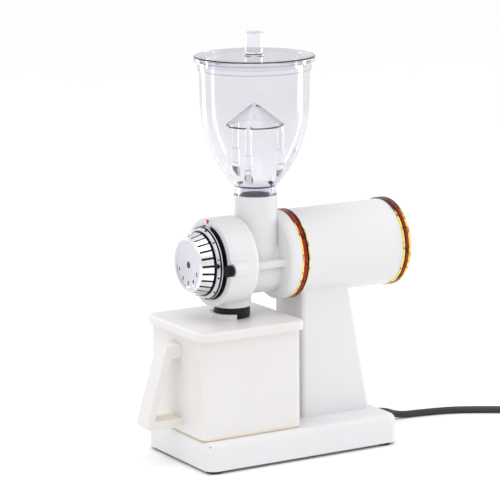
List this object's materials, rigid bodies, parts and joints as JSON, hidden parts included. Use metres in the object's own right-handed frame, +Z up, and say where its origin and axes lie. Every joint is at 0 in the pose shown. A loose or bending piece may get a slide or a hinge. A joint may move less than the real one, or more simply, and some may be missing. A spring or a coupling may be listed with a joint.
{
  "type": "burr coffee grinder",
  "caption": "Upright electric burr coffee grinder with a clear hopper, horizontal motor, grind dial and a grounds bin on a white pedestal stand.",
  "frame": {"origin": "on the surface it stands on, under the middle of the machine without its cord", "axes": "+Z up; the dial and bin handle face -Y, the motor points to +Y, +X is the right side seen from the front"},
  "size_m": [0.159, 0.5098, 0.385],
  "materials": {
    "white_enamel": "satin",
    "white_casting": "satin",
    "pale_grey_plate": "satin",
    "chrome_dial": "polished",
    "black_plastic": "matte",
    "black_rubber": "matte",
    "cord_black": "satin",
    "gold_trim": "polished",
    "clear_hopper": "clear",
    "bin_white": "satin",
    "bright_steel": "brushed",
    "burr_steel": "ground",
    "core_iron": "laminated",
    "copper_winding": "varnished",
    "grey_plastic": "matte",
    "red_rocker": "gloss",
    "cast_aluminium": "cast",
    "pointer_white": "gloss"
  },
  "bodies": {
    "housing": {"stand": "white_enamel", "bottom_cover": "grey_plastic", "bottom_cover_screws": "bright_steel", "rubber_feet": "black_rubber", "motor_tube": "white_enamel", "front_trim_ring": "gold_trim", "rear_trim_ring": "gold_trim", "motor_end_cap": "white_enamel", "end_cap_screws": "bright_steel", "rear_bearing_plate": "cast_aluminium", "motor_tie_rods": "bright_steel", "stator_core": "core_iron", "stator_windings": "copper_winding", "front_bearing": "bright_steel", "rear_bearing": "bright_steel", "saddle_bolts": "bright_steel", "run_capacitor": "grey_plastic", "terminal_block": "grey_plastic", "motor_leads": "black_rubber", "switch_bezel": "black_plastic", "cord_grip": "black_rubber", "grinding_drum": "white_casting", "feed_housing": "white_casting", "motor_front_bell": "white_casting", "front_plate_screw": "bright_steel", "stationary_burr": "burr_steel", "stationary_burr_screws": "bright_steel", "front_plate": "pale_grey_plate", "dial_recess_ring": "black_plastic", "pointer_tab": "pointer_white", "outlet_sleeve": "black_plastic", "power_cord": "cord_black", "power_cord_coil": "cord_black", "mains_plug": "black_plastic"},
    "rotor": {"motor_shaft": "bright_steel", "rotor_core": "core_iron", "cooling_fan": "black_plastic", "feed_screw": "cast_aluminium", "burr_spring": "bright_steel"},
    "burr_set": {"burr_carrier": "cast_aluminium", "rotating_burr": "burr_steel", "rotating_burr_screws": "bright_steel"},
    "adjuster": {"adjusting_screw": "bright_steel", "thrust_ball": "bright_steel"},
    "dial": {"dial_knob": "chrome_dial", "dial_screw": "bright_steel", "dial_scale_ring": "chrome_dial"},
    "thumb": {"thumbscrew": "black_plastic"},
    "hopper": {"hopper_bowl": "clear_hopper"},
    "hopper_cover": {"hopper_lid": "clear_hopper"},
    "guard": {"bean_guard": "clear_hopper"},
    "bin": {"grounds_bin": "bin_white", "bin_lid": "bin_white", "bin_handle": "bin_white", "bin_handle_screws": "bright_steel"},
    "rocker": {"switch_rocker": "red_rocker"}
  },
  "joints": [
    {"name": "rotor_spin", "type": "hinge", "parent": "housing", "child": "rotor", "pos_m": [0, 0.06, 0.18], "axis": [0, 1, 0], "continuous": true},
    {"name": "dial_turn", "type": "hinge", "parent": "housing", "child": "dial", "pos_m": [0, -0.075, 0.18], "axis": [0, 1, 0], "range_deg": [-135, 180]},
    {"name": "adjuster_travel", "type": "slide", "parent": "housing", "child": "adjuster", "axis": [0, 1, 0], "range_m": [-0.0004, 0.0005]},
    {"name": "burr_advance", "type": "slide", "parent": "rotor", "child": "burr_set", "axis": [0, 1, 0], "range_m": [-0.0004, 0.0005], "deforming": ["burr_spring"]},
    {"name": "switch_rock", "type": "hinge", "parent": "housing", "child": "rocker", "pos_m": [-0.025, 0.052, 0.074], "axis": [0, 1, 0], "range_deg": [0, 20]},
    {"name": "hopper_lift", "type": "slide", "parent": "housing", "child": "hopper", "axis": [0, 0, 1], "range_m": [0, 0.1]},
    {"name": "lid_lift", "type": "slide", "parent": "hopper", "child": "hopper_cover", "axis": [0, 0, 1], "range_m": [0, 0.08]},
    {"name": "guard_lift", "type": "slide", "parent": "hopper", "child": "guard", "axis": [0, 0, 1], "range_m": [0, 0.03]},
    {"name": "bin_slide", "type": "slide", "parent": "housing", "child": "bin", "axis": [0, -1, 0], "range_m": [0, 0.15]},
    {"name": "thumbscrew_turn", "type": "hinge", "parent": "housing", "child": "thumb", "pos_m": [0.0435, -0.07, 0.18], "axis": [0, 1, 0], "continuous": true}
  ],
  "couplings": [
    {"joint": "adjuster_travel", "follows": "dial_turn", "m_per_rad": 0.00015},
    {"joint": "burr_advance", "follows": "dial_turn", "m_per_rad": 0.00015}
  ]
}
